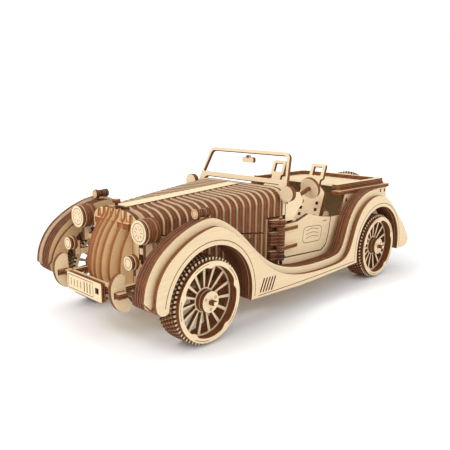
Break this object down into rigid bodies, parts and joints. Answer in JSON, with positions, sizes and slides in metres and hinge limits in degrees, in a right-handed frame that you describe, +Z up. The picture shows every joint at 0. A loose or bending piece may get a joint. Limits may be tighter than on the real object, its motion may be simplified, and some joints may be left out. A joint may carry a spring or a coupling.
{
  "type": "wooden model car kit",
  "caption": "Open roadster built from laser-cut plywood sheets, with rolling spoked wheels, geared band motor, opening doors and bonnet, turning steering wheel and drive lever.",
  "frame": {"origin": "on the ground under the middle of the car: half its length and half its width", "axes": "+X towards the car's left side, +Y towards its tail, +Z up; the nose points to -Y"},
  "size_m": [0.148, 0.33, 0.1188],
  "materials": {
    "ply_face": "light plywood face, matt",
    "ply_edge": "layers seen edge-on, browned by the laser",
    "ply_warm": "light plywood with toasted edges"
  },
  "bodies": {
    "chassis": {"belt_rail": "ply_warm", "body_side_left": "ply_face", "body_side_right": "ply_face", "bonnet_spine": "ply_face", "bumper_bar": "ply_edge", "cowl": "ply_face", "dashboard": "ply_face", "deck_rim": "ply_edge", "engine_block": "ply_warm", "engine_side_left": "ply_edge", "engine_side_right": "ply_edge", "firewall": "ply_edge", "floor_plate": "ply_face", "fog_lamp_left": "ply_face", "fog_lamp_right": "ply_face", "front_axle": "ply_edge", "front_axle_block": "ply_face", "front_wing_left": "ply_edge", "front_wing_right": "ply_edge", "grille_slats": "ply_warm", "headlight_left": "ply_edge", "headlight_right": "ply_edge", "hinge_pillar_left": "ply_edge", "hinge_pillar_right": "ply_edge", "marker_lamp_left": "ply_edge", "marker_lamp_right": "ply_edge", "motor_frame": "ply_face", "number_plate": "ply_face", "overrider_left": "ply_face", "overrider_right": "ply_face", "radiator_shell": "ply_edge", "rear_deck": "ply_face", "rear_view_mirror": "ply_face", "rear_wing_left": "ply_edge", "rear_wing_right": "ply_edge", "rim_plate_left": "ply_face", "rim_plate_right": "ply_face", "seat_left": "ply_face", "seat_right": "ply_face", "side_mirror_left": "ply_face", "side_mirror_right": "ply_face", "side_plate_left": "ply_face", "side_plate_right": "ply_face", "spare_wheel": "ply_face", "tail_panel": "ply_face", "windscreen_frame": "ply_face"},
    "wheel_front_left": {"wheel_front_left": "ply_face"},
    "wheel_front_right": {"wheel_front_right": "ply_face"},
    "rear_axle_set": {"rear_axle": "ply_edge", "rear_axle_gear": "ply_face", "wheel_rear_left": "ply_face", "wheel_rear_right": "ply_face"},
    "motor_drum": {"motor_drum": "ply_face"},
    "bonnet_left": {"bonnet_left": "ply_edge"},
    "bonnet_right": {"bonnet_right": "ply_edge"},
    "door_left": {"door_left": "ply_face"},
    "door_right": {"door_right": "ply_face"},
    "steering_wheel": {"steering_wheel": "ply_face"},
    "drive_lever": {"drive_lever": "ply_face"}
  },
  "joints": [
    {"name": "front_left_spin", "type": "hinge", "parent": "chassis", "child": "wheel_front_left", "pos_m": [0.06, -0.1115, 0.0294], "axis": [1, 0, 0], "continuous": true},
    {"name": "front_right_spin", "type": "hinge", "parent": "chassis", "child": "wheel_front_right", "pos_m": [-0.06, -0.1115, 0.0294], "axis": [1, 0, 0], "continuous": true},
    {"name": "rear_axle_spin", "type": "hinge", "parent": "chassis", "child": "rear_axle_set", "pos_m": [0, 0.105, 0.0294], "axis": [1, 0, 0], "continuous": true},
    {"name": "motor_spin", "type": "hinge", "parent": "chassis", "child": "motor_drum", "pos_m": [0, 0.09, 0.052], "axis": [1, 0, 0], "continuous": true},
    {"name": "bonnet_left_lift", "type": "hinge", "parent": "chassis", "child": "bonnet_left", "pos_m": [0.0062, -0.073, 0.0893], "axis": [0, -0.9984, -0.0573], "range_deg": [0, 70]},
    {"name": "bonnet_right_lift", "type": "hinge", "parent": "chassis", "child": "bonnet_right", "pos_m": [-0.0062, -0.073, 0.0893], "axis": [0, 0.9984, 0.0573], "range_deg": [0, 70]},
    {"name": "door_left_swing", "type": "hinge", "parent": "chassis", "child": "door_left", "pos_m": [0.0515, -0.019, 0.0536], "axis": [0, 0, -1], "range_deg": [0, 60]},
    {"name": "door_right_swing", "type": "hinge", "parent": "chassis", "child": "door_right", "pos_m": [-0.0515, -0.019, 0.0536], "axis": [0, 0, 1], "range_deg": [0, 60]},
    {"name": "steering_turn", "type": "hinge", "parent": "chassis", "child": "steering_wheel", "pos_m": [0.0316, 0.045, 0.0848], "axis": [0, 0.9563, 0.2924], "range_deg": [-90, 90]},
    {"name": "lever_swing", "type": "hinge", "parent": "chassis", "child": "drive_lever", "pos_m": [0, 0.024, 0.0315], "axis": [1, 0, 0], "range_deg": [0, 20]}
  ],
  "couplings": [
    {"joint": "motor_spin", "follows": "rear_axle_spin", "ratio": -0.75}
  ]
}
